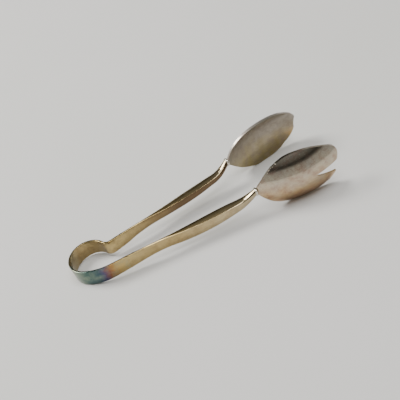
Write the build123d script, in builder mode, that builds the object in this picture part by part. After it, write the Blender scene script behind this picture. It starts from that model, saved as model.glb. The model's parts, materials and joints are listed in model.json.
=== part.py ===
"""Ice tongs: a sprung bow, two tapering shanks, a spoon bowl and a two-tined fork bowl.

The tongs are drawn in a plane of their own, with X running from the bow's loop to the bowl
tips, Y towards the spoon arm and Z across the strip.  They lie on a table, so that plane is
pitched until the bow's lower edge and the bowls' lower rims both touch the table.
All sizes are in millimetres and all angles in degrees.
"""
from build123d import *
from math import atan, atan2, cos, degrees, pi, radians, sin, sqrt
import os

# ---- driving dimensions ---------------------------------------------------------------

# Bow: one strip bent into an open loop and pinched in on the spoon side
strip_thickness = 1.3
strip_height = 12.0         # round the loop
drawn_height = 9.8          # where the strip has been drawn down towards the arms
loop_radius = 12.9          # to the middle of the strip
pinch_radius = 4.5          # of the reverse bend beside the spoon arm
easing_radius = 30.0        # of the slow bend that runs from the loop into the fork arm
pinch_reach = 0.8           # from the loop's centre across to the spoon arm's middle line
throat_width = 17.0         # between the arms' middle lines, beside the loop's centre

# Arms: shanks that spread towards the bowls, sag a little and turn up again at the neck
arm_angle = 4.6             # each arm's angle to the tongs' middle line
neck_reach = 109.5          # along an arm, from beside the loop's centre to the neck
drawn_reach = 27.0          # along an arm, to where the strip is drawn_height tall
neck_diameter = 4.4
neck_rise = 2.5             # of the neck's middle above the arm's line
neck_flare = 1.8            # of the neck's middle outwards from the arm's line
shank_edge_radius = 0.45

# Stations of a shank: share of the way from drawn_reach to the neck, thickness, height,
# rise of its middle above the arm's line and flare of its middle outwards
shank_stations = (
    (0.20, 2.0, 8.8, -0.6, 0.0),
    (0.38, 4.0, 9.0, -2.2, 0.0),
    (0.58, 5.6, 8.5, -2.9, 0.0),
    (0.77, 6.0, 7.0, -2.7, 0.0),
    (0.90, 5.4, 5.6, -1.6, 0.5),
)

# Silver-soldered scarf between the strip and each shank
scarf_reach = 22.0          # along an arm, to the middle of the scarf
scarf_length = 5.0
solder_film = 0.15

# Bowls: dished leaves with blunt tips, hollows facing each other
bowl_length = 58.5
bowl_width = 34.0
bowl_depth = 7.5
bowl_wall = 1.3
bowl_turn = 2.4             # outwards, from the arm's line
bowl_droop = 6.5            # downwards, from the arm's line
bowl_lean = 5.0             # of the upper rims towards each other
root_width = 4.2            # of the leaf, where it leaves the neck
tip_width = 17.5            # across the blunt tip, before its corners are rounded
tip_corner_radius = 5.5
spoon_tip_rake = 1.5        # the tip's lower corner stands this much behind its upper one
fork_tip_rake = 7.0

# Slot that splits the fork's bowl into two tines, the lower one narrower at its tip
slot_length = 20.0
slot_drop = 1.1             # of the slot's root below the bowl's middle line
slot_above = 1.2            # half of the slot's mouth above the bowl's middle line
slot_below = 6.4            # and below it
slot_root = 1.2
tine_corner_radius = 1.0    # where the slot opens at the tip

# Drop: the pointed tongue that backs each bowl beyond the neck
drop_length = 15.0
drop_thickness = 0.8

# Bead of solder around each neck
bead_width = 5.4
bead_length = 1.6
bead_corner_radius = 1.9

# ---- places that follow from them -----------------------------------------------------

spread = radians(arm_angle)
arm_start = throat_width / 2
loop_y = arm_start - pinch_reach

# Pitch that lays both the bow's lower edge and the bowls' lower rims on the table.
bowl_middle = neck_reach + bead_length + bowl_length / 2
bowl_low = bowl_width / 2 + bowl_length / 2 * sin(radians(bowl_droop)) - neck_rise
loop_back = loop_radius + strip_thickness / 2
rest_pitch = degrees(atan((bowl_low - strip_height / 2) / (bowl_middle + loop_back)))
tongs = Plane.XY.rotated((0, -rest_pitch, 0))


def arm_plane(side, reach):
    """Plane on an arm's middle line: X along the arm, Z across the strip.  side is 1 or -1."""
    place = tongs.from_local_coords(
        Vector(reach * cos(spread), side * (arm_start + reach * sin(spread)), 0)
    )
    along = tongs.x_dir * cos(side * spread) + tongs.y_dir * sin(side * spread)
    return Plane(origin=place, x_dir=along, z_dir=tongs.z_dir)


def bowl_plane(side):
    """Plane at a bowl's root, at the middle of its wall: X along the bowl, Z across it."""
    neck = arm_plane(side, neck_reach + bead_length)
    place = neck.from_local_coords(Vector(0, side * neck_flare, neck_rise))
    seat = Plane(origin=place, x_dir=neck.x_dir, z_dir=neck.z_dir)
    return seat.rotated((side * bowl_lean, bowl_droop, side * bowl_turn))


def upright(plane):
    """The plane stood on its own X, so that its Y runs across the strip."""
    return Plane(origin=plane.origin, x_dir=plane.x_dir, z_dir=-plane.y_dir)


# ---- bow ------------------------------------------------------------------------------

# Scarf: an inclined cut through the strip, with a film of solder in it.
scarf_slope = atan2(strip_thickness, scarf_length)
scarf_step = solder_film / sin(scarf_slope)
scarf_overrun = 1.6         # cutting shapes reach this many times past the strip's faces


def scarf_line(shift):
    """End points of the scarf's line in an arm's plane, carried past both faces of the strip."""
    over = scarf_overrun * scarf_length / 2
    rise = scarf_overrun * strip_thickness / 2
    return (shift - over, -rise), (shift + over, rise)


def arm_side_of_scarf():
    """Triangle on the bowl's side of the scarf, to be cut from the strip."""
    low, high = scarf_line(0)
    Polygon(low, high, (high[0], low[1]), align=None)


def bow_side_of_scarf():
    """Triangle on the loop's side of the scarf and its solder, to be cut from the shank."""
    low, high = scarf_line(scarf_step)
    Polygon(low, high, (low[0], high[1]), align=None)


def keep_drawn_down(plane):
    """Keep what lies between the strip's upper and lower edges, which draw together."""
    with BuildSketch(upright(plane)) as elevation:
        Polygon(
            (-2 * loop_radius, strip_height / 2),
            (0, strip_height / 2),
            (drawn_reach, drawn_height / 2),
            (drawn_reach, -drawn_height / 2),
            (0, -strip_height / 2),
            (-2 * loop_radius, -strip_height / 2),
            align=None,
        )
    extrude(elevation.sketch, amount=3 * loop_radius, both=True, mode=Mode.INTERSECT)


strip_end = scarf_reach + scarf_length / 2
spoon_end = (strip_end * cos(spread), arm_start + strip_end * sin(spread))
fork_end = (spoon_end[0], -spoon_end[1])

# The reverse bend at the pinch touches the loop and the spoon arm's middle line.
bend_lift = pinch_reach * cos(spread) + pinch_radius
bend_along = sqrt((loop_radius + pinch_radius) ** 2 - bend_lift ** 2)
bend_centre = (
    bend_along * cos(spread) - bend_lift * sin(spread),
    loop_y + bend_along * sin(spread) + bend_lift * cos(spread),
)
share = loop_radius / (loop_radius + pinch_radius)
loop_to_bend = (bend_centre[0] * share, loop_y + (bend_centre[1] - loop_y) * share)
half_turn = atan2(bend_along, bend_lift) / 2
bend_middle = (
    bend_centre[0] - pinch_radius * sin(half_turn - spread),
    bend_centre[1] - pinch_radius * cos(half_turn - spread),
)
bend_to_arm = (
    bend_centre[0] + pinch_radius * sin(spread),
    bend_centre[1] - pinch_radius * cos(spread),
)

# The slow bend lies inside its own circle, which holds the loop and touches the fork arm.
loop_to_fork_line = (loop_y + arm_start) * cos(spread)
bend_share = (easing_radius - loop_to_fork_line) / (easing_radius - loop_radius)
turned = radians(-90) - spread - atan2(sqrt(1 - bend_share ** 2), bend_share)
easing_centre = (
    -(easing_radius - loop_radius) * cos(turned),
    loop_y - (easing_radius - loop_radius) * sin(turned),
)
loop_to_easing = (loop_radius * cos(turned), loop_y + loop_radius * sin(turned))
easing_half = (turned + radians(-90) - spread) / 2
easing_middle = (
    easing_centre[0] + easing_radius * cos(easing_half),
    easing_centre[1] + easing_radius * sin(easing_half),
)
easing_to_arm = (
    easing_centre[0] - easing_radius * sin(spread),
    easing_centre[1] - easing_radius * cos(spread),
)

with BuildPart() as bow_spring:
    with BuildSketch(tongs):
        with BuildLine():
            Line(fork_end, easing_to_arm)
            ThreePointArc(easing_to_arm, easing_middle, loop_to_easing)
            ThreePointArc(loop_to_easing, (-loop_radius, loop_y), loop_to_bend)
            ThreePointArc(loop_to_bend, bend_middle, bend_to_arm)
            Line(bend_to_arm, spoon_end)
        trace(line_width=strip_thickness)
    extrude(amount=strip_height / 2, both=True)
    keep_drawn_down(tongs)
    for side in (1, -1):
        with BuildSketch(arm_plane(side, scarf_reach)):
            arm_side_of_scarf()
        extrude(amount=strip_height, both=True, mode=Mode.SUBTRACT)


# ---- shanks ---------------------------------------------------------------------------

blank_start = scarf_reach - scarf_length / 2


def drawn_width(reach):
    """Height of the drawn-down strip at a reach along an arm."""
    return strip_height + (drawn_height - strip_height) * reach / drawn_reach


def bar_outline(flat_start, flat_end, widths, middles):
    """A bar's outline: straight from the scarf to drawn_reach, then curved through its stations.

    widths and middles are the bar's width and its middle's offset at each station and the neck.
    """
    shares = [station[0] for station in shank_stations] + [1]
    reaches = [drawn_reach + share * (neck_reach - drawn_reach) for share in shares]

    def edge(way):
        points = [(x, y + way * w / 2) for x, y, w in zip(reaches, middles, widths)]
        slope = way * (flat_end - flat_start) / 2 / (drawn_reach - blank_start)
        return Spline((drawn_reach, way * flat_end / 2), *points, tangents=((1, slope), (1, 0.3)))

    with BuildLine() as outline:
        edge(1)
        edge(-1)
        Polyline(
            (drawn_reach, flat_end / 2),
            (blank_start, flat_start / 2),
            (blank_start, -flat_start / 2),
            (drawn_reach, -flat_end / 2),
        )
        Line((neck_reach, middles[-1] + widths[-1] / 2), (neck_reach, middles[-1] - widths[-1] / 2))
    make_face(outline.edges())


def shank(side):
    """A shank: its plan taken through its elevation, its long edges eased, its end scarfed."""
    plane = arm_plane(side, 0)
    thicknesses = [station[1] for station in shank_stations] + [neck_diameter]
    heights = [station[2] for station in shank_stations] + [neck_diameter]
    rises = [station[3] for station in shank_stations] + [neck_rise]
    flares = [side * station[4] for station in shank_stations] + [side * neck_flare]
    with BuildSketch(plane) as plan:
        bar_outline(strip_thickness, strip_thickness, thicknesses, flares)
    extrude(plan.sketch, amount=strip_height, both=True)
    with BuildSketch(upright(plane)) as elevation:
        bar_outline(drawn_width(blank_start), drawn_height, heights, rises)
    extrude(elevation.sketch, amount=strip_height, both=True, mode=Mode.INTERSECT)
    long_edges = [edge for edge in edges() if edge.length > (neck_reach - drawn_reach) * 0.9]
    fillet(long_edges, shank_edge_radius)
    with BuildSketch(arm_plane(side, scarf_reach)) as cut:
        bow_side_of_scarf()
    extrude(cut.sketch, amount=strip_height, both=True, mode=Mode.SUBTRACT)


with BuildPart() as spoon_shank:
    shank(1)

with BuildPart() as fork_shank:
    shank(-1)


# ---- solder in the scarfs -------------------------------------------------------------

def scarf_film(side):
    """The film of solder that fills a scarf from face to face of the strip."""
    half_length = scarf_length / 2
    half_thickness = strip_thickness / 2
    with BuildSketch(arm_plane(side, scarf_reach)) as film:
        Polygon(
            (-half_length, -half_thickness),
            (-half_length + scarf_step, -half_thickness),
            (half_length + scarf_step, half_thickness),
            (half_length, half_thickness),
            align=None,
        )
    extrude(film.sketch, amount=strip_height / 2, both=True)
    keep_drawn_down(arm_plane(side, 0))


with BuildPart() as spoon_scarf_solder:
    scarf_film(1)

with BuildPart() as fork_scarf_solder:
    scarf_film(-1)


# ---- beads of solder at the necks -----------------------------------------------------

def neck_bead(side):
    """A rounded collar of solder between the shank's end and the root of the bowl."""
    root = bowl_plane(side)
    shank_end = arm_plane(side, neck_reach)
    place = shank_end.from_local_coords(Vector(0, side * neck_flare, neck_rise))
    with BuildSketch(Plane(origin=place, x_dir=shank_end.y_dir, z_dir=shank_end.x_dir)) as end:
        RectangleRounded(bead_width, bead_width, bead_corner_radius)
    extrude(end.sketch, amount=2 * bead_length)
    split(bisect_by=Plane(origin=root.origin, z_dir=root.x_dir), keep=Keep.BOTTOM)


with BuildPart() as spoon_neck_bead:
    neck_bead(1)

with BuildPart() as fork_neck_bead:
    neck_bead(-1)


# ---- bowls ----------------------------------------------------------------------------

def radius_for(chord, rise):
    """Radius of the arc that rises by rise over a chord."""
    return (chord ** 2 / 4 + rise ** 2) / (2 * rise)


long_radius = radius_for(bowl_length, bowl_depth)
cross_radius = radius_for(bowl_width, bowl_depth)


def dished(side, inside, outside):
    """Keep what lies in a dished layer, between two distances out from the bowl's back."""
    plane = bowl_plane(side)
    out = plane.y_dir * side
    deepest = plane.origin + plane.x_dir * bowl_length / 2 + out * (bowl_depth + bowl_wall / 2)
    section = Plane(origin=deepest - out * cross_radius, x_dir=out, z_dir=plane.x_dir)
    with BuildSketch(section) as layer:
        Circle(cross_radius + outside)
        Circle(cross_radius + inside, mode=Mode.SUBTRACT)
        Rectangle(
            2 * cross_radius,
            4 * cross_radius,
            align=(Align.MIN, Align.CENTER),
            mode=Mode.INTERSECT,
        )
    hub = deepest - out * long_radius
    revolve(layer.sketch, axis=Axis(hub, plane.z_dir), mode=Mode.INTERSECT)


def leaf(rake):
    """Outline of a bowl from its root, along X, to its blunt and slightly raked tip."""
    with BuildLine() as half:
        Line((0, 0), (0, root_width / 2))
        Spline(
            (0, root_width / 2),
            (bowl_length * 0.12, bowl_width * 0.29),
            (bowl_length * 0.32, bowl_width * 0.47),
            (bowl_length * 0.52, bowl_width * 0.5),
            (bowl_length, tip_width / 2),
        )
        Line((bowl_length, tip_width / 2), (bowl_length, 0))
        Line((bowl_length, 0), (0, 0))
    make_face(half.edges())
    mirror(about=Plane.XZ)
    Polygon(
        (bowl_length, tip_width / 2),
        (bowl_length, -3 * tip_width / 2),
        (bowl_length - 2 * rake, -3 * tip_width / 2),
        align=None,
        mode=Mode.SUBTRACT,
    )
    fillet(vertices().sort_by(Axis.X)[-2:], tip_corner_radius)


def slot():
    """The slot's outline: a long wedge with a round root."""
    root = bowl_length - slot_length + slot_root / 2
    Polygon(
        (root, slot_root / 2 - slot_drop),
        (bowl_length, slot_above),
        (bowl_length, -slot_below),
        (root, -slot_root / 2 - slot_drop),
        align=None,
        mode=Mode.SUBTRACT,
    )
    with Locations((root, -slot_drop)):
        Circle(slot_root / 2, mode=Mode.SUBTRACT)
    fillet(vertices().sort_by(Axis.X)[-2:], tine_corner_radius)


def drop():
    """Outline of the pointed tongue behind the neck."""
    Polygon((0, root_width / 2), (0, -root_width / 2), (drop_length, 0), align=None)


with BuildPart() as spoon_drop:
    with BuildSketch(upright(bowl_plane(1))):
        drop()
    extrude(amount=2 * bowl_depth, both=True)
    dished(1, -bowl_wall / 2, drop_thickness)

with BuildPart() as fork_drop:
    with BuildSketch(upright(bowl_plane(-1))):
        drop()
    extrude(amount=2 * bowl_depth, both=True)
    dished(-1, -bowl_wall / 2, drop_thickness)

with BuildPart() as spoon_bowl:
    with BuildSketch(upright(bowl_plane(1))):
        leaf(spoon_tip_rake)
    extrude(amount=2 * bowl_depth, both=True)
    dished(1, -bowl_wall, 0)
    add(spoon_drop.part)

with BuildPart() as fork_bowl:
    with BuildSketch(upright(bowl_plane(-1))):
        leaf(fork_tip_rake)
        slot()
    extrude(amount=2 * bowl_depth, both=True)
    dished(-1, -bowl_wall, 0)
    add(fork_drop.part)


# ---- set down on the table ------------------------------------------------------------

pieces = {
    "bow_spring": bow_spring,
    "spoon_shank": spoon_shank,
    "fork_shank": fork_shank,
    "spoon_scarf_solder": spoon_scarf_solder,
    "fork_scarf_solder": fork_scarf_solder,
    "spoon_neck_bead": spoon_neck_bead,
    "fork_neck_bead": fork_neck_bead,
    "spoon_bowl": spoon_bowl,
    "fork_bowl": fork_bowl,
}

# The row's origin is on the table, under the middle of the whole object's box.
box = Compound([piece.part for piece in pieces.values()]).bounding_box()
set_down = Location((-box.center().X, -box.center().Y, -box.min.Z))

# Each arm turns about the centroid of its own half of the loop, where a bow's even bending
# carries it; the centroid of a half circle of strip lies 2 / pi of a radius off the diameter.
half_centroid = 2 / pi * loop_radius
for name, side in (("spoon", 1), ("fork", -1)):
    pivot = tongs.from_local_coords(Vector(0, loop_y + side * half_centroid, 0))
    pivot = pivot + set_down.position
    print(name, "arm pivot", [round(value, 3) for value in pivot])
print("arm axis", [round(value, 6) for value in tongs.z_dir])

os.makedirs("parts", exist_ok=True)
for name, piece in pieces.items():
    piece.part = piece.part.moved(set_down)
    piece.part.label = name
    export_step(piece.part, f"parts/{name}.step")
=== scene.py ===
# %% [markdown]
# # Ice tongs, built piece by piece
# The frame holds the sizes, the joints and the bodies that move. This lesson builds what the eye
# sees around it: a sprung bow, two shanks, a spoon bowl, a fork bowl and the solder that joins
# them. Everything is plated metal, so smooth surfaces and soft reflections matter most.

# %% Load the frame
import json
from math import atan2, ceil, cos, degrees, pi, radians, sin, sqrt, tan

import bmesh
import bpy
from mathutils import Matrix, Quaternion, Vector


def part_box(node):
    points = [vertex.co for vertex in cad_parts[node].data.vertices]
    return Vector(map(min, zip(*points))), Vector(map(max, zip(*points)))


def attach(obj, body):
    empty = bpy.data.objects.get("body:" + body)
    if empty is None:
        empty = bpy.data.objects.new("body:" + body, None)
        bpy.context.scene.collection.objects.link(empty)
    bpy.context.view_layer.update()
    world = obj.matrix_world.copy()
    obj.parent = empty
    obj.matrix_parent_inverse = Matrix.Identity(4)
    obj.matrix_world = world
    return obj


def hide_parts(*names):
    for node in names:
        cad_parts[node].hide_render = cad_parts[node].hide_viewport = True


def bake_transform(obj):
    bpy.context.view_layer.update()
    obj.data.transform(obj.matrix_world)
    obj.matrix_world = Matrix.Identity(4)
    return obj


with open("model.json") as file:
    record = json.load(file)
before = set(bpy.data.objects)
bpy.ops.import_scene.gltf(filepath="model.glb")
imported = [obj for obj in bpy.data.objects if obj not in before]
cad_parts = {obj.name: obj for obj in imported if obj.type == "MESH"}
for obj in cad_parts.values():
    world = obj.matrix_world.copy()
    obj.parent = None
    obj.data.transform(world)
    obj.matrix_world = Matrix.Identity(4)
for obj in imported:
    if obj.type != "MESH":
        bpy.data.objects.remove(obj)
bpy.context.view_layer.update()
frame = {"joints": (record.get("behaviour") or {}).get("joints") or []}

# %% [markdown]
# ## The tongs' own axes
# The tongs lie tilted on the table, because their bowls are wider than their bow. Modelling is
# easier in a frame that lies along them: X from the loop to the bowls, Y to the spoon, Z across
# the strip. The two hinges of the frame say where that is, since their axis is the new Z and the
# loop's centre is halfway between them.

# %% Place the tongs' axes
MM = 0.001
hinges = {joint["name"]: joint for joint in frame["joints"]}
spoon_hinge = Vector(hinges["spoon_arm_flex"]["pos_m"]) / MM
fork_hinge = Vector(hinges["fork_arm_flex"]["pos_m"]) / MM
across_strip = -Vector(hinges["spoon_arm_flex"]["axis"]).normalized()
to_spoon = Vector((0, 1, 0))
along = to_spoon.cross(across_strip)
loop_middle = (spoon_hinge + fork_hinge) / 2
middle_line = (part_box("spoon_bowl")[1].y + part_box("fork_bowl")[0].y) / 2 / MM
tongs = Matrix((along, to_spoon, across_strip)).transposed().to_4x4()
tongs.translation = Vector((loop_middle.x, middle_line, loop_middle.z))
loop_y = loop_middle.y - middle_line
print("loop centre stands", round(loop_y, 2), "mm to the spoon's side")

# %% [markdown]
# ## Sizes
# The frame was designed from a few driving sizes. The same names and numbers are repeated here,
# in millimetres, so that a curve on a new piece follows the solid it stands for.

# %% Sizes in millimetres, as the frame was designed
strip_thickness, strip_height, strip_edge = 1.3, 12.0, 0.25
drawn_height, drawn_reach = 9.8, 27.0
loop_radius, pinch_radius, easing_radius = 12.9, 4.5, 30.0
pinch_reach, throat_width = 0.8, 17.0
spread = radians(4.6)
neck_reach, neck_diameter, neck_rise, neck_flare = 109.5, 4.4, 2.5, 1.8
# Shank stations: share of the way to the neck, thickness, height, rise and flare of its middle
shank_stations = (
    (0.20, 2.0, 8.8, -0.6, 0.0),
    (0.38, 4.0, 9.0, -2.2, 0.0),
    (0.58, 5.6, 8.5, -2.9, 0.0),
    (0.77, 6.0, 7.0, -2.7, 0.0),
    (0.90, 5.4, 5.6, -1.6, 0.5),
    (1.00, neck_diameter, neck_diameter, neck_rise, neck_flare),
)
scarf_reach, scarf_length, solder_film = 22.0, 5.0, 0.15
bowl_length, bowl_width, bowl_depth, bowl_wall = 58.5, 34.0, 7.5, 1.3
bowl_turn, bowl_droop, bowl_lean = radians(2.4), radians(6.5), radians(5.0)
root_width, tip_width, tip_corner = 4.2, 17.5, 5.5
spoon_rake, fork_rake = 1.5, 7.0
slot_length, slot_drop, slot_above, slot_below = 20.0, 1.1, 1.2, 6.4
slot_root, tine_corner = 1.2, 1.0
drop_length, drop_thickness = 15.0, 0.8
bead_width, bead_length, bead_corner = 5.4, 1.6, 1.9
arm_start = throat_width / 2
print("arms start", arm_start, "mm from the middle line")
print("arms spread by", round(degrees(spread), 1), "degrees")


# %% Helpers for places along an arm
def turn(angle, axis):
    """A turn about one of the local axes."""
    return Matrix.Rotation(angle, 4, axis)


def arm_place(side, reach, flare=0.0, rise=0.0):
    """A point on an arm's line, in mm. side is 1 for the spoon's arm and -1 for the fork's."""
    on_line = Vector((reach * cos(spread), side * (arm_start + reach * sin(spread)), 0))
    beside = Matrix.Translation((0, flare, rise))
    return Matrix.Translation(on_line) @ turn(side * spread, "Z") @ beside


def bowl_place(side):
    """A bowl's root: X along the bowl, Z across it, tilted about the table's axes."""
    neck = arm_place(side, neck_reach + bead_length, side * neck_flare, neck_rise)
    tilt = turn(side * bowl_lean, "X") @ turn(bowl_droop, "Y") @ turn(side * bowl_turn, "Z")
    lie = tongs.to_3x3().to_4x4()
    facing = lie.inverted() @ tilt @ lie @ turn(side * spread, "Z")
    return Matrix.Translation(neck.translation) @ facing


print("spoon bowl's root is at", [round(v, 1) for v in (tongs @ bowl_place(1)).translation], "mm")

# %% [markdown]
# ## From a bmesh to a finished piece
# Each piece is drawn in millimetres in the tongs' axes, so one last transform puts it in the
# shared frame. Its doubles are merged, its faces turned outwards, and edges sharper than a
# limit are kept crisp while the rest shade smoothly, as polished metal does.

# %% Helper that finishes a mesh
SHARP = radians(38)
DOUBLES = 0.002  # mm


def finished(name, bm, place):
    """A mesh object in the shared frame, made from a bmesh that was drawn in mm."""
    bmesh.ops.transform(bm, matrix=Matrix.Scale(MM, 4) @ tongs @ place, verts=bm.verts)
    bmesh.ops.remove_doubles(bm, verts=bm.verts, dist=DOUBLES * MM)
    bmesh.ops.recalc_face_normals(bm, faces=bm.faces)
    mesh = bpy.data.meshes.new(name)
    bm.to_mesh(mesh)
    bm.free()
    mesh.shade_smooth()
    mesh.set_sharp_from_angle(angle=SHARP)
    piece = bpy.data.objects.new(name, mesh)
    bpy.context.scene.collection.objects.link(piece)
    print(name, "has", len(mesh.polygons), "faces")
    return piece


def faces_of(geometry):
    """The faces in what an operator gives back."""
    return [part for part in geometry if isinstance(part, bmesh.types.BMFace)]


def cut(bm, point, outward):
    """Cut everything beyond a plane away and close the cut."""
    whole = bm.verts[:] + bm.edges[:] + bm.faces[:]
    ring = bmesh.ops.bisect_plane(bm, geom=whole, plane_co=point, plane_no=outward, clear_outer=True)
    edges = [part for part in ring["geom_cut"] if isinstance(part, bmesh.types.BMEdge)]
    bmesh.ops.holes_fill(bm, edges=edges, sides=0)


# %% [markdown]
# ## Bow
# The bow is one strip of hard-rolled metal, bent round a former into an open loop and pinched in
# beside the spoon's arm. A curve with a bevel would do, but spinning the strip's end face about
# each bend's centre is how the strip is bent, and gives clean rows of faces. Its legs are then
# drawn out straight and a little narrower, down to the scarfs. The bow flexes when the tongs
# close, so it is made as two halves that meet at the back of the loop.

# %% Work out the bends
bend_lift = pinch_reach * cos(spread) + pinch_radius
bend_along = sqrt((loop_radius + pinch_radius) ** 2 - bend_lift ** 2)
bend_centre = Vector((
    bend_along * cos(spread) - bend_lift * sin(spread),
    loop_y + bend_along * sin(spread) + bend_lift * cos(spread),
    0,
))
loop_centre = Vector((0, loop_y, 0))
to_bend = atan2(bend_centre.y - loop_y, bend_centre.x)
bend_share = (easing_radius - (loop_y + arm_start) * cos(spread)) / (easing_radius - loop_radius)
easing_turn = atan2(sqrt(1 - bend_share ** 2), bend_share)
easing_from = -pi / 2 - spread - easing_turn
towards_easing = Vector((cos(easing_from), sin(easing_from), 0))
easing_centre = loop_centre - (easing_radius - loop_radius) * towards_easing
print("the pinch turns", round(degrees(pi / 2 + spread - to_bend)), "degrees back")

# %% Bend the two halves
BEND_STEP = radians(2.5)
EDGE_STEPS, LEG_STEPS = 3, 6
scarf_slope = atan2(strip_thickness, scarf_length)
scarf_step = solder_film / sin(scarf_slope)
scarf_out = Vector((sin(scarf_slope), -cos(scarf_slope), 0))


def scarf_point(side, shift=0.0):
    """A point on the scarf's cut, and the cut's normal towards the bowl, on one arm."""
    place = arm_place(side, scarf_reach + shift)
    return place.translation, place.to_3x3() @ scarf_out


def strip_share(reach):
    """Height of the strip at a reach along an arm, as a share of its height round the loop."""
    return 1 - (1 - drawn_height / strip_height) * max(0.0, reach) / drawn_reach


def bow_half(name, side, bends):
    """Half of the bow: the strip's end face, spun about each bend's centre and then drawn out."""
    bm = bmesh.new()
    bmesh.ops.create_grid(bm, x_segments=1, y_segments=1, size=0.5)
    bmesh.ops.rotate(bm, verts=bm.verts, matrix=turn(pi / 2, "X").to_3x3())
    bmesh.ops.scale(bm, verts=bm.verts, vec=(strip_thickness, 1, strip_height))
    bmesh.ops.bevel(bm, geom=bm.verts[:], offset=strip_edge, offset_type="OFFSET",
                    segments=EDGE_STEPS, profile=0.5, affect="VERTICES", material=-1)
    bmesh.ops.translate(bm, verts=bm.verts, vec=loop_centre - Vector((loop_radius, 0, 0)))
    end = bm.faces[:]
    for centre, angle in bends:
        spun = bmesh.ops.spin(bm, geom=end, cent=centre, axis=(0, 0, 1), angle=angle,
                              steps=ceil(abs(angle) / BEND_STEP), use_merge=False)
        end = faces_of(spun["geom_last"])
    to_arm = arm_place(side, 0).inverted()
    bend_end = (to_arm @ end[0].calc_center_median()).x
    for step in range(1, LEG_STEPS + 1):
        tip = arm_place(side, bend_end + (drawn_reach - bend_end) * step / LEG_STEPS).translation
        here = end[0].calc_center_median()
        drawn = bmesh.ops.extrude_face_region(bm, geom=end)
        bmesh.ops.delete(bm, geom=end, context="FACES_ONLY")
        end = faces_of(drawn["geom"])
        bmesh.ops.translate(bm, verts=end[0].verts, vec=tip - here)
    for vert in bm.verts:
        vert.co.z *= strip_share((to_arm @ vert.co).x)
    cut(bm, *scarf_point(side))
    return finished(name, bm, Matrix.Identity(4))


spoon_bends = [(loop_centre, to_bend - pi), (bend_centre, pi / 2 + spread - to_bend)]
fork_bends = [(loop_centre, easing_from + pi), (easing_centre, easing_turn)]
bow_spoon_half = bow_half("bow_spoon_half", 1, spoon_bends)
bow_fork_half = bow_half("bow_fork_half", -1, fork_bends)


# %% [markdown]
# ## Shanks
# A shank is forged: as thin as the strip at its scarf, swelling to a bar that sags a little and
# turns up into a round neck. Its inner face is shorter than its outer one, so that the lower
# edge slopes. Lofting a rounded section through stations along the arm gives that shape in one
# skin: the section is extruded from station to station, and each new ring is moved to its own
# size. The faces that look inwards are marked with an attribute that paints them darker and
# browner: painted shade, for the shaded gap between the arms that they mirror.

# %% Curves through a few sizes
def through(points, x):
    """A smooth curve's height at x, through points given as (x, height)."""
    xs, ys = zip(*points)
    rises = [(y1 - y0) / (x1 - x0) for x0, x1, y0, y1 in zip(xs, xs[1:], ys, ys[1:])]
    runs = [x1 - x0 for x0, x1 in zip(xs, xs[1:])]
    inner = [
        (run1 * rise0 + run0 * rise1) / (run0 + run1)
        for run0, run1, rise0, rise1 in zip(runs, runs[1:], rises, rises[1:])
    ]
    slopes = [2 * rises[0] - inner[0], *inner, 2 * rises[-1] - inner[-1]]
    if x <= xs[0]:
        return ys[0]
    span = min(sum(x > knot for knot in xs) - 1, len(runs) - 1)
    t = (x - xs[span]) / runs[span]
    rise = ys[span + 1] - ys[span]
    return (
        ys[span]
        + rise * t * t * (3 - 2 * t)
        + runs[span] * t * (1 - t) * (slopes[span] * (1 - t) - slopes[span + 1] * t)
    )


def bar_face(reach, flat, slope, widths, middles, way):
    """Where a shank's face is at a reach: straight to drawn_reach, then through the stations."""
    if reach <= drawn_reach:
        return way * (flat + slope * (reach - drawn_reach)) / 2
    points = [(drawn_reach, way * flat / 2)]
    for (share, *_), width, middle in zip(shank_stations, widths, middles):
        station_reach = drawn_reach + share * (neck_reach - drawn_reach)
        points.append((station_reach, middle + way * width / 2))
    return through(points, reach)


# %% Loft the shanks
CORNER_STEPS, FACE_STEPS = 5, 4


def section(low, high, radius, crown):
    """A rounded and slightly crowned rectangle, as points (y, z) anticlockwise."""
    (y0, z0), (y1, z1) = low, high
    centres = [
        (y1 - crown - radius, z1 - crown - radius),
        (y0 + crown + radius, z1 - crown - radius),
        (y0 + crown + radius, z0 + crown + radius),
        (y1 - crown - radius, z0 + crown + radius),
    ]
    points = []
    for quarter, centre in enumerate(centres):
        for step in range(CORNER_STEPS + 1):
            angle = pi / 2 * (quarter + step / CORNER_STEPS)
            points.append(Vector(centre) + radius * Vector((cos(angle), sin(angle))))
        start = points[-1]
        out = Vector((cos(angle), sin(angle)))
        finish = Vector(centres[(quarter + 1) % 4]) + radius * out
        for step in range(1, FACE_STEPS):
            share = step / FACE_STEPS
            points.append(start.lerp(finish, share) + out * crown * 4 * share * (1 - share))
    return points


def loft(bm, rings):
    """A closed skin through rings of points: one face, extruded from each ring to the next."""
    end = bm.faces.new([bm.verts.new(point) for point in rings[0]])
    for ring in rings[1:]:
        grown = bmesh.ops.extrude_face_region(bm, geom=[end])
        new_end = faces_of(grown["geom"])[-1]
        for vert, point in zip(new_end.verts, ring):
            vert.co = point
        end = new_end
    return end


SHANK_STEPS = 46
INNER_EASE = 3.2  # mm that the inner face's lower edge is lifted, midway along a shank
PAINTED_SHADE_FADE = 45.0  # mm over which the inner faces' painted shade sets in

# Along a shank, as (reach, value): its edges' radius, its faces' crown and its share of INNER_EASE
edge_radii = ((scarf_reach, strip_edge), (45, 0.4), (98, 0.8), (neck_reach, bead_corner))
face_crowns = ((scarf_reach, 0.0), (60, 0.22), (neck_reach, 0.1))
inner_eases = ((drawn_reach, 0), (57, 1), (75, 1), (94, 0.8), (neck_reach, 0))


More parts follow.
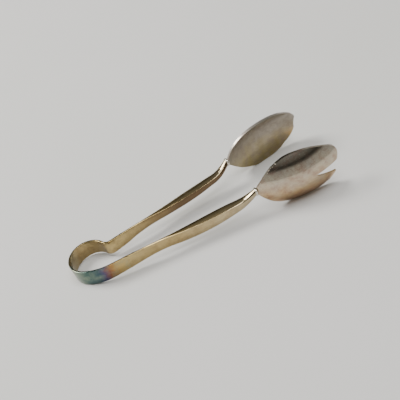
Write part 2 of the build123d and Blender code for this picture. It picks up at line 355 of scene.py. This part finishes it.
def shank(name, side):
    """A shank from its scarf to its neck."""
    start = scarf_reach - scarf_length / 2
    slope = (drawn_height - strip_height) / drawn_reach
    _, thicknesses, heights, rises, flares = zip(*shank_stations)
    flares = [side * flare for flare in flares]
    rings = []
    for step in range(SHANK_STEPS + 1):
        reach = start + (neck_reach - start) * step / SHANK_STEPS
        ys = [bar_face(reach, strip_thickness, 0, thicknesses, flares, way) for way in (-1, 1)]
        zs = [bar_face(reach, drawn_height, slope, heights, rises, way) for way in (-1, 1)]
        radius, crown = through(edge_radii, reach), through(face_crowns, reach)
        ring = section((ys[0], zs[0]), (ys[1], zs[1]), radius, crown)
        lift = INNER_EASE * through(inner_eases, reach)
        middle, thickness, height = (ys[0] + ys[1]) / 2, ys[1] - ys[0], zs[1] - zs[0]
        points = []
        for y, z in ring:
            inward = 0.5 - side * (y - middle) / thickness
            points.append(Vector((reach, y, z + lift * inward * (zs[1] - z) / height)))
        rings.append(points)
    bm = bmesh.new()
    loft(bm, rings)
    bmesh.ops.transform(bm, matrix=arm_place(side, 0), verts=bm.verts)
    point, to_bowl = scarf_point(side, scarf_step)
    cut(bm, point, -to_bowl)
    piece = finished(name, bm, Matrix.Identity(4))
    # "inner" marks faces that look towards the other arm, and the finish paints them darker and browner
    # there: painted shade
    inner = piece.data.attributes.new("inner", "FLOAT", "FACE")
    for face in piece.data.polygons:
        reach = (tongs.inverted() @ (face.center / MM)).x
        fade = min(1.0, max(0.0, (reach - scarf_reach) / PAINTED_SHADE_FADE))
        inner.data[face.index].value = fade * max(0.0, -side * face.normal.y)
    return piece


spoon_shank = shank("spoon_shank_forged", 1)
fork_shank = shank("fork_shank_forged", -1)


# %% [markdown]
# ## Solder
# Silver solder fills each scarf from face to face, and a bead of it was left round each neck,
# where the bowl is brazed on. The film is a thin sheared block. The bead is lofted through
# rounded rings that swell and shrink again, so that it catches a small round highlight.

# %% Scarf films and neck beads
def scarf_solder(name, side):
    """The film between the bow's cut and the shank's cut."""
    bm = bmesh.new()
    bmesh.ops.create_cube(bm, size=1)
    bmesh.ops.scale(bm, verts=bm.verts, vec=(2 * scarf_length, strip_thickness, strip_height))
    for vert in bm.verts:
        vert.co.z *= strip_share(scarf_reach + vert.co.x)
    bmesh.ops.transform(bm, matrix=arm_place(side, scarf_reach), verts=bm.verts)
    near, to_bowl = scarf_point(side)
    far = scarf_point(side, scarf_step)[0]
    cut(bm, near, -to_bowl)
    cut(bm, far, to_bowl)
    return finished(name, bm, Matrix.Identity(4))


BEAD_SHARES = (0, 0.08, 0.2, 0.35, 0.5, 0.65, 0.8, 0.92, 1)
BEAD_END, BEAD_CROWN = 0.8, 0.05  # the bead's width at its ends, as a share, and its faces' crown


def neck_bead(name, side):
    """The bead round a neck, which ends square on the bowl's root."""
    root = arm_place(side, 0).inverted() @ bowl_place(side)
    facing = root.to_3x3() @ Vector((1, 0, 0))
    rings = []
    for share in BEAD_SHARES:
        swell = BEAD_END + (1 - BEAD_END) * max(0.0, sin(pi * share)) ** 0.5
        half = bead_width / 2 * swell
        ring = section((-half, -half), (half, half), bead_corner * swell, BEAD_CROWN)
        rings.append([Vector((neck_reach, side * neck_flare + y, neck_rise + z)) for y, z in ring])
        for point in rings[-1]:
            length = (root.translation - point).dot(facing) / facing.x
            point.x += share * length
    bm = bmesh.new()
    loft(bm, rings)
    return finished(name, bm, arm_place(side, 0))


solder_pieces = {
    "spoon_scarf_solder": scarf_solder("spoon_scarf_film", 1),
    "fork_scarf_solder": scarf_solder("fork_scarf_film", -1),
    "spoon_neck_bead": neck_bead("spoon_neck_collar", 1),
    "fork_neck_bead": neck_bead("fork_neck_collar", -1),
}


# %% [markdown]
# ## Bowls
# A bowl is cut from sheet as a flat leaf and then pressed into a die that is round both ways.
# The same two steps work here. The leaf is one flat face whose outline has the blunt, raked tip
# and, on the fork, the slot. It is sliced into a fine grid by parallel cuts, and then every
# point is moved out to the die's surface. A copy is pressed against the inner surface, and the
# two rims are bridged, which gives the sheet its thickness. A Bevel modifier eases the rims.

# %% Cut a leaf
def corner_arc(before, corner, after, radius, steps):
    """Points of the arc that rounds a corner."""
    back, ahead = (before - corner).normalized(), (after - corner).normalized()
    half = back.angle(ahead) / 2
    centre = corner + (back + ahead).normalized() * radius / sin(half)
    start = corner + back * radius / tan(half) - centre
    finish = corner + ahead * radius / tan(half) - centre
    return [centre + radius * start.slerp(finish, step / steps) for step in range(steps + 1)]


leaf_points = (
    (0, root_width / 2),
    (0.12 * bowl_length, 0.29 * bowl_width),
    (0.32 * bowl_length, 0.47 * bowl_width),
    (0.52 * bowl_length, 0.5 * bowl_width),
    (bowl_length, tip_width / 2),
)
SIDE_STEPS, SIDE_SHARE = 36, 0.9  # points along each side, and the share of its length they cover
ARC_STEPS, SLOT_STEPS, ROOT_STEPS = 8, 4, 6
CLEAR = 0.5  # mm kept between an arc and its neighbouring points
spoon_low_corner = 8.8
TIP_CROWN, CROWN_FROM = 2.2, 0.75  # mm that the spoon's tip is rounded by, and from what share


def half_width(x):
    """Half of the leaf's width at x along it."""
    return through(leaf_points, x)


def tip_x(z, rake):
    """Where the raked tip's line is, at z across the leaf."""
    return bowl_length - rake * (tip_width / 2 - z) / tip_width


def slot_outline(rake, tip_above, lower):
    """The slot's points, and the lower corner's arc from where the slot's lower side meets it."""
    root = Vector((bowl_length - slot_length + slot_root / 2, -slot_drop))
    above = Vector((tip_x(slot_above, rake), slot_above))
    below = Vector((tip_x(-slot_below, rake), -slot_below))
    mouth = corner_arc(tip_above, above, root, tine_corner, SLOT_STEPS)
    turns = [(below - root).cross(point - root) for point in lower]
    first = next(index for index, turned in enumerate(turns) if turned < 0)
    share = turns[first - 1] / (turns[first - 1] - turns[first])
    meeting = lower[first - 1].lerp(lower[first], share)
    lower = [point for point in lower[first:] if (point - meeting).length > CLEAR]
    floor = corner_arc(root, meeting, lower[0], tine_corner / 3, SLOT_STEPS)
    angles = [pi / 2 + pi * step / ROOT_STEPS for step in range(ROOT_STEPS + 1)]
    circle = [root + slot_root / 2 * Vector((cos(angle), sin(angle))) for angle in angles]
    return mouth + circle + floor, lower


def leaf_outline(rake, slotted, low_radius):
    """The leaf's outline from its root, clockwise round its tip, as points (x, z)."""
    sides = [SIDE_SHARE * bowl_length * step / SIDE_STEPS for step in range(SIDE_STEPS + 1)]
    top = [Vector((x, half_width(x))) for x in sides]
    corner = Vector((bowl_length, tip_width / 2))
    low = Vector((bowl_length - rake, -tip_width / 2))
    for _ in range(6):  # settles the lower corner on both the raked tip and the leaf's side
        low.x = tip_x(low.y, rake)
        low.y = -half_width(low.x)
    below_low = Vector((low.x - 4, -half_width(low.x - 4)))
    upper = corner_arc(top[-1], corner, low, max(tip_corner, 0.75 * low_radius), ARC_STEPS)
    lower = corner_arc(corner, low, below_low, low_radius, ARC_STEPS)
    top = [point for point in top if point.x < upper[0].x - CLEAR]
    bottom = [Vector((point.x, -point.y)) for point in top if point.x < lower[-1].x - CLEAR]
    slot = []
    if slotted:
        slot, lower = slot_outline(rake, upper[-1], lower)
    outline = top + upper + slot + lower + bottom[::-1]
    if not slotted:
        for point in outline:
            near_tip = min(1.0, max(0.0, (point.x / bowl_length - CROWN_FROM) / (1 - CROWN_FROM)))
            point.x -= TIP_CROWN * near_tip * (2 * point.y / tip_width) ** 2
    return outline


# %% Press the leaf into a bowl
def arc_radius(chord, rise):
    """Radius of the arc that rises by rise over a chord."""
    return (chord ** 2 / 4 + rise ** 2) / (2 * rise)


long_radius = arc_radius(bowl_length, bowl_depth)
cross_radius = arc_radius(bowl_width, bowl_depth)
RIM_EASE, RIM_SHARP = 0.3, radians(50)
ROW_STEP, COLUMN_STEP, FINE_STEP = 1.17, 1.13, 0.3  # mm between the cuts that slice a leaf
SNAP = 0.02  # mm within which a cut keeps to a point that is already there
DROP_SHARE, DROP_TIP, DROP_FLARE = 0.45, 0.6, 2.2


def die(x, z, layer):
    """How far out the die's surface is; layer is 0 for the back and -bowl_wall for the hollow."""
    ring = long_radius - cross_radius + sqrt((cross_radius + layer) ** 2 - z * z)
    return bowl_depth + bowl_wall / 2 - long_radius + sqrt(ring ** 2 - (x - bowl_length / 2) ** 2)


def drop(x, z):
    """Height of the pointed drop that backs the bowl behind its neck."""
    share = max(0.0, 1 - x / drop_length)
    across = min(1.0, abs(z) / (DROP_TIP + DROP_FLARE * share))
    return DROP_SHARE * drop_thickness * share * (1 - across ** 2 * (3 - 2 * across))


def slice_leaf(bm, faces, distance, normal):
    """Cut the given faces of a flat leaf along a plane."""
    parts = dict.fromkeys(part for face in faces for part in (*face.edges, *face.verts))
    bmesh.ops.bisect_plane(bm, geom=faces + list(parts), plane_co=normal * distance,
                           plane_no=normal, dist=SNAP)


def bowl(name, side, rake, slotted, low_radius):
    """A pressed bowl; side turns its back outwards."""
    bm = bmesh.new()
    outline = leaf_outline(rake, slotted, low_radius)
    bm.faces.new([bm.verts.new((point.x, 0, point.y)) for point in outline])
    for step in range(1, 50):
        slice_leaf(bm, bm.faces[:], step * ROW_STEP, Vector((1, 0, 0)))
    for step in range(-15, 16):
        slice_leaf(bm, bm.faces[:], step * COLUMN_STEP, Vector((0, 0, 1)))
    for step in range(-9, 10):
        near_drop = [face for face in bm.faces if face.calc_center_median().x < drop_length + 2]
        slice_leaf(bm, near_drop, step * FINE_STEP, Vector((0, 0, 1)))
    hollow = bmesh.ops.duplicate(bm, geom=bm.verts[:] + bm.edges[:] + bm.faces[:])["geom"]
    hollow_verts = {part for part in hollow if isinstance(part, bmesh.types.BMVert)}
    for vert in bm.verts:
        x, z = vert.co.x, vert.co.z
        inside = vert in hollow_verts
        vert.co.y = side * (die(x, z, -bowl_wall) if inside else die(x, z, 0) + drop(x, z))
    rims = [part for part in bm.edges if part.is_boundary]
    bmesh.ops.bridge_loops(bm, edges=rims)
    piece = finished(name, bm, bowl_place(side))
    ease = piece.modifiers.new("rim", "BEVEL")
    ease.width = RIM_EASE * MM
    ease.segments = 2
    ease.limit_method = "ANGLE"
    ease.angle_limit = RIM_SHARP
    return piece


spoon_bowl = bowl("spoon_bowl_pressed", 1, spoon_rake, False, spoon_low_corner)
fork_bowl = bowl("fork_bowl_pressed", -1, fork_rake, True, tip_corner)

# %% [markdown]
# ## Check against the frame
# Each new piece stands for a node of the frame, so their boxes should agree. Printing how far
# apart they are, in millimetres, catches a wrong size or a wrong turn at once.

# %% Compare each new piece with its place in the frame
stands_for = {
    "spoon_shank": spoon_shank,
    "fork_shank": fork_shank,
    "spoon_bowl": spoon_bowl,
    "fork_bowl": fork_bowl,
    **solder_pieces,
}
for node, piece in stands_for.items():
    corners = [Vector(corner) for corner in piece.bound_box]
    low = [min(values) for values in zip(*corners)]
    high = [max(values) for values in zip(*corners)]
    gaps = [[round((a - b) / MM, 2) for a, b in zip(*pair)] for pair in zip((low, high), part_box(node))]
    print(node, "differs by", gaps, "mm")

# %% [markdown]
# ## Bodies
# Rigid pieces ride on their arm, and the frame's nodes that they stand for are hidden. The bow's
# two halves stay where they were drawn, in the shared frame, and the frame's bow is hidden.

# %% Ride and blend
for node, piece in stands_for.items():
    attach(piece, node.split("_")[0] + "_arm")
    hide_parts(node)
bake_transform(bow_spoon_half)
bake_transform(bow_fork_half)
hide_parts("bow_spring")
print(len(stands_for), "pieces ride on the arms, and the bow's two halves blend into them")


# %% [markdown]
# ## Helpers for materials
# A finish is a small tree of nodes. One function turns the hex value of a colour, as a paint
# chart gives it, into the linear colour that the sockets take, and one adds a node with its
# settings and links, so that each finish below reads as a list of what goes into it.

# %% Material helpers
def colour(text):
    """An sRGB hex value as the linear colour that Blender's sockets take."""
    parts = [int(text[i:i + 2], 16) / 255 for i in (1, 3, 5)]
    return (*[p / 12.92 if p <= 0.04045 else ((p + 0.055) / 1.055) ** 2.4 for p in parts], 1)


def add(material, kind, links=(), props=(), **values):
    """A new node: links join its inputs to sockets, props are its settings, values its inputs."""
    node = material.node_tree.nodes.new(kind)
    for key, value in dict(props).items():
        setattr(node, key, value)
    for key, value in values.items():
        node.inputs[key.replace("_", " ")].default_value = value
    for key, socket in dict(links).items():
        material.node_tree.links.new(socket, node.inputs[key])
    return node


def new_material(name):
    """A material with no nodes but its output, and that output."""
    material = bpy.data.materials.new(name)
    material.use_nodes = True
    material.node_tree.nodes.clear()
    output = material.node_tree.nodes.new("ShaderNodeOutputMaterial")
    return material, output


# %% [markdown]
# ## Toned silver plate
# The metal is silver plate that has been handled, washed and left to tone. Clean silver mirrors
# its surroundings with hardly any colour. A thin sulphide film over it goes from straw to gold,
# copper, purple and blue-green as it thickens, and where it is worn it leaves bare metal. So the
# base colour carries the film's colours, placed along the piece by its Object coordinates and
# broken up by noise. Metallic stays at 1, or just under it where the film is dull enough to
# scatter light, and the roughness rises where the film is thick. Two bumps finish it: the slow
# swell of hand polishing, and fine lines that run along the tongs.

# %% Nodes that every plated finish shares
def place_of(material, scale=(1, 1, 1)):
    """Object coordinates in millimetres, each squeezed or stretched by a factor."""
    spot = add(material, "ShaderNodeTexCoord")
    scaled = add(material, "ShaderNodeMapping", {"Vector": spot.outputs["Object"]},
                 {"vector_type": "TEXTURE"}, Scale=[MM / factor for factor in scale])
    return scaled.outputs[0]


def ramp(material, factor, stops):
    """A colour ramp through (position, hex colour) stops."""
    node = add(material, "ShaderNodeValToRGB", {"Fac": factor})
    elements = node.color_ramp.elements
    while len(elements) < len(stops):
        elements.new(0.5)
    for element, (position, tone) in zip(elements, stops):
        element.position = position
        element.color = colour(tone)
    return node.outputs["Color"]


def noise(material, size, place, detail=3.0, roughness=0.5):
    """Noise whose blotches are about size mm across."""
    node = add(material, "ShaderNodeTexNoise", {"Vector": place}, Scale=1 / size, Detail=detail,
               Roughness=roughness)
    return node.outputs["Fac"]


def spread_out(material, value, low, high, new_low=0.0, new_high=1.0):
    """The value's range low to high stretched to a new range."""
    node = add(material, "ShaderNodeMapRange", {"Value": value}, From_Min=low, From_Max=high,
               To_Min=new_low, To_Max=new_high)
    return node.outputs[0]


MIX_INPUTS, MIX_OUTPUT = (0, 6, 7), 2  # the Mix node's factor and its two colours, and its colour


def mixed(material, factor, first, second, blend="MIX"):
    """Two colours mixed by a factor. Each may be a socket or a plain value."""
    node = add(material, "ShaderNodeMix", {}, {"data_type": "RGBA", "blend_type": blend})
    for index, value in zip(MIX_INPUTS, (factor, first, second)):
        if isinstance(value, (int, float, tuple)):
            node.inputs[index].default_value = value
        else:
            material.node_tree.links.new(value, node.inputs[index])
    return node.outputs[MIX_OUTPUT]


def sum_of(material, first, second, share):
    """first + share * second."""
    node = add(material, "ShaderNodeMath", {}, {"operation": "MULTIPLY_ADD"})
    material.node_tree.links.new(second, node.inputs[0])
    node.inputs[1].default_value = share
    material.node_tree.links.new(first, node.inputs[2])
    return node.outputs[0]


WAVE_SIZE, BLOTCH_SIZE = 9.0, 5.0  # mm
SCRATCH_SIZE = 0.35  # mm across; real polishing lines are finer, and would not show at all
SCRATCH_STRETCH = 0.04  # the lines are 25 times as long as they are wide
WAVE_HEIGHT, SCRATCH_HEIGHT = 0.6, 0.01  # mm
FILM_ROUGH, SCRATCH_ROUGH = 0.12, 0.06  # roughness that a thick film and a scratch add


def toned_plate(name, film_tones, axis, reach, blotch, blotch_share, gloss, wobble=3.0,
                metal=1.0, inside=None):
    """Silver plate whose film changes along one axis, between two places in mm.

    film_tones are its colours from one place to the other, and wobble is how many mm they wander.
    blotch is the colour of its patches, and gloss the roughness between them. inside is a darker
    colour painted on faces whose attribute "inner" is near 1: painted shade, not film.
    """
    material, output = new_material(name)
    place = place_of(material)
    slow = noise(material, WAVE_SIZE, place, detail=2.0)
    parts = add(material, "ShaderNodeSeparateXYZ", {"Vector": place})
    wander = spread_out(material, slow, 0.25, 0.75, -1, 1)
    shifted = sum_of(material, parts.outputs[axis], wander, wobble)
    film = ramp(material, spread_out(material, shifted, *reach), film_tones)
    cloudy = noise(material, BLOTCH_SIZE, place, detail=5.0, roughness=0.62)
    patches = spread_out(material, cloudy, 0.44, 0.68)
    share = add(material, "ShaderNodeMath", {0: patches}, {"operation": "MULTIPLY"})
    share.inputs[1].default_value = blotch_share
    tone = mixed(material, share.outputs[0], film, colour(blotch))
    # Faces marked "inner" get the darker inside colour: painted shade
    if inside:
        facing = add(material, "ShaderNodeAttribute", {}, {"attribute_name": "inner"})
        tone = mixed(material, facing.outputs["Fac"], tone, colour(inside))
    stretched = place_of(material, scale=(SCRATCH_STRETCH, 1, 1))
    rubbed = noise(material, SCRATCH_SIZE, stretched, detail=4.0)
    worn = spread_out(material, rubbed, 0.35, 0.75, 0.86, 1.06)
    tone = mixed(material, 1.0, tone, worn, blend="MULTIPLY")
    dull = spread_out(material, patches, 0, 1, gloss, gloss + FILM_ROUGH)
    rough = sum_of(material, dull, rubbed, SCRATCH_ROUGH)
    swell = add(material, "ShaderNodeBump", {"Height": slow}, Strength=0.1, Distance=WAVE_HEIGHT * MM)
    lines = add(material, "ShaderNodeBump", {"Height": rubbed, "Normal": swell.outputs[0]},
                Strength=0.12, Distance=SCRATCH_HEIGHT * MM)
    shader = add(material, "ShaderNodeBsdfPrincipled",
                 {"Base Color": tone, "Roughness": rough, "Normal": lines.outputs[0]}, Metallic=metal)
    material.node_tree.links.new(shader.outputs[0], output.inputs[0])
    return material


# %% [markdown]
# ## A finish for each piece
# The bow has the thickest film: grey-green and blue at the back of the loop, then a purple and a
# copper fringe, then straw and gold towards the arms. The arms are an even gold, with painted
# shade on their inner faces. The spoon's hollow is a dull grey-brown that turns olive and darker
# low down, and the fork's back is a warm tan that turns darker and browner low down, on its lower
# tine. The solder was rubbed bright.

# %% Finishes
X, Z = 0, 2
BOW_REACH, SHANK_REACH, SOLDER_REACH, BOWL_RISE = (-93, -57), (-56, 34), (-60, 40), (2, 34)  # mm

# Rolled strip, electroplated and polished: the film is thickest here, so it shows every colour
bow_plate = toned_plate("rainbow_toned_silver_plate", [
    (0.0, "#A79F80"), (0.10, "#7F8A7C"), (0.24, "#4F6660"), (0.44, "#465A62"), (0.53, "#57506E"),
    (0.61, "#8A5F4C"), (0.70, "#B0874E"), (0.82, "#BDA268"), (1.0, "#C2AC78"),
], X, BOW_REACH, "#8E9A84", 0.5, 0.12, wobble=2.4)

# The same strip on the spoon's side, where the film stays at bronze and straw
loop_plate = toned_plate("bronze_toned_silver_plate", [
    (0.0, "#A79F80"), (0.3, "#A08B62"), (0.6, "#B09A6C"), (1.0, "#C2AC78"),
], X, BOW_REACH, "#7C6648", 0.5, 0.12)

# Forged bar, plated and handled: an even gold film, with painted shade, darker and browner, on the inner
# faces
shank_plate_and_painted_shade = toned_plate("gold_toned_plate_and_painted_shade", [
    (0.0, "#C2AC78"), (0.35, "#B9A272"), (0.7, "#C6B48C"), (1.0, "#B5A88C"),
], X, SHANK_REACH, "#8F7856", 0.5, 0.10, inside="#6E5A44")

# Pressed sheet, dulled by washing: soft grey reflections, turning olive and darker towards the table
spoon_plate = toned_plate("grey_toned_silver_plate", [
    (0.0, "#A39468"), (0.3, "#B5A88C"), (0.65, "#C6BDB2"), (1.0, "#B4AEA4"),
], Z, BOWL_RISE, "#9C8C84", 0.6, 0.26, wobble=4.0, metal=0.86)

# Pressed sheet, still bright: sharp reflections under a tan film that turns darker and browner towards the
# table
fork_plate = toned_plate("tan_toned_silver_plate", [
    (0.0, "#B48A5C"), (0.28, "#C2A880"), (0.6, "#C8BBA6"), (1.0, "#B4AEA4"),
], Z, BOWL_RISE, "#9A7464", 0.55, 0.07, wobble=4.0)

# Silver solder, rubbed bright: nearly white, with a small soft highlight
solder_plate = toned_plate("bright_silver_solder", [
    (0.0, "#EFEBE0"), (1.0, "#E2DCCE"),
], X, SOLDER_REACH, "#BDB39E", 0.3, 0.16)

# %% Give each piece its finish
# The scarf films were plated over with the strip, so they take its finish
scarf_films = [solder_pieces["spoon_scarf_solder"], solder_pieces["fork_scarf_solder"]]
neck_beads = [solder_pieces["spoon_neck_bead"], solder_pieces["fork_neck_bead"]]
for finish, pieces in (
    (bow_plate, [bow_fork_half]),
    (loop_plate, [bow_spoon_half, *scarf_films]),
    (shank_plate_and_painted_shade, [spoon_shank, fork_shank]),
    (spoon_plate, [spoon_bowl]),
    (fork_plate, [fork_bowl]),
    (solder_plate, neck_beads),
):
    for piece in pieces:
        piece.data.materials.append(finish)
    print(finish.name, "is on", [piece.name for piece in pieces])

# %% [markdown]
# ## Table and light
# Polished metal shows its surroundings more than itself, so the room is part of the finish. The
# tongs lie on pale paper. The room is light at the horizon and overhead and dim in between,
# which is what draws the dark bands on the upper faces. A large soft window stands behind on
# the left, so the shadows fall softly to the right and towards the viewer.

# %% Table
TABLE_SIZE = 3.0  # m
CLOUD_SIZE, GRAIN_SIZE, GRAIN_HEIGHT = 260.0, 1.2, 0.1  # mm
bm = bmesh.new()
bmesh.ops.create_grid(bm, x_segments=1, y_segments=1, size=TABLE_SIZE)
mesh = bpy.data.meshes.new("table")
bm.to_mesh(mesh)
bm.free()
table = bpy.data.objects.new("table", mesh)
bpy.context.scene.collection.objects.link(table)

# Uncoated paper: matt, faintly uneven in tone, with a soft grain
paper, output = new_material("pale_matt_paper")
place = place_of(paper)
sheet_tone = ramp(paper, noise(paper, CLOUD_SIZE, place, detail=2.0), [(0.3, "#D3D3CF"), (0.7, "#D8D6D5")])
grain = add(paper, "ShaderNodeBump", {"Height": noise(paper, GRAIN_SIZE, place)}, Strength=0.1,
            Distance=GRAIN_HEIGHT * MM)
shader = add(paper, "ShaderNodeBsdfPrincipled", {"Base Color": sheet_tone, "Normal": grain.outputs[0]},
             Roughness=0.85)
paper.node_tree.links.new(shader.outputs[0], output.inputs[0])
table.data.materials.append(paper)
print("the table is", round(table.dimensions.x, 1), "m across")

# %% Room and lamps
world = bpy.data.worlds.new("room")
bpy.context.scene.world = world
world.use_nodes = True
background = world.node_tree.nodes["Background"]
heading = add(world, "ShaderNodeTexCoord")
height = add(world, "ShaderNodeSeparateXYZ", {"Vector": heading.outputs["Generated"]})
walls = ramp(world, height.outputs["Z"], [
    (0.0, "#C9C9C4"), (0.38, "#B4B3AE"), (0.50, "#5A5953"), (0.58, "#3A3935"),
    (0.68, "#74736D"), (0.84, "#8A8984"), (0.93, "#BDBDBA"), (1.0, "#E4E4E2"),
])
world.node_tree.links.new(walls, background.inputs["Color"])
background.inputs["Strength"].default_value = 1.0


def softbox(name, at, size, power, tone):
    """A square lamp that looks at the tongs; size in m and power in W."""
    light = bpy.data.lights.new(name, "AREA")
    light.shape = "SQUARE"
    light.size = size
    light.energy = power
    light.color = colour(tone)[:3]
    lamp = bpy.data.objects.new(name, light)
    lamp.location = at
    lamp.rotation_mode = "QUATERNION"
    lamp.rotation_quaternion = (-Vector(at)).to_track_quat("-Z", "Y")
    bpy.context.scene.collection.objects.link(lamp)
    print(name, "lamp stands", round(Vector(at).length, 2), "m away")


softbox("window", (-0.9, 0.8, 1.3), 0.7, 32, "#FFFEFA")
softbox("ceiling", (0.1, -0.2, 1.9), 1.2, 24, "#FFFFFF")

# %% [markdown]
# ## Camera
# The tongs are seen from above and in front, as on a table before you, with the camera rolled
# so that they run up to the right. A rather long lens keeps the perspective calm.

# %% Camera
EYE = Vector((-0.0905, -0.3299, 0.3194))
AIM = Vector((0.00624, 0.01823, 0))
ROLL = radians(-17.8)
camera_data = bpy.data.cameras.new("camera")
camera_data.sensor_width = 36.0
camera_data.lens = 64.18
camera_data.clip_start = 0.01
camera = bpy.data.objects.new("camera", camera_data)
bpy.context.scene.collection.objects.link(camera)
bpy.context.scene.camera = camera
look = (AIM - EYE).to_track_quat("-Z", "Y")
camera.location = EYE
camera.rotation_mode = "QUATERNION"
camera.rotation_quaternion = look @ Quaternion((0, 0, 1), ROLL)
print("camera looks along", [round(v, 3) for v in (AIM - EYE).normalized()])
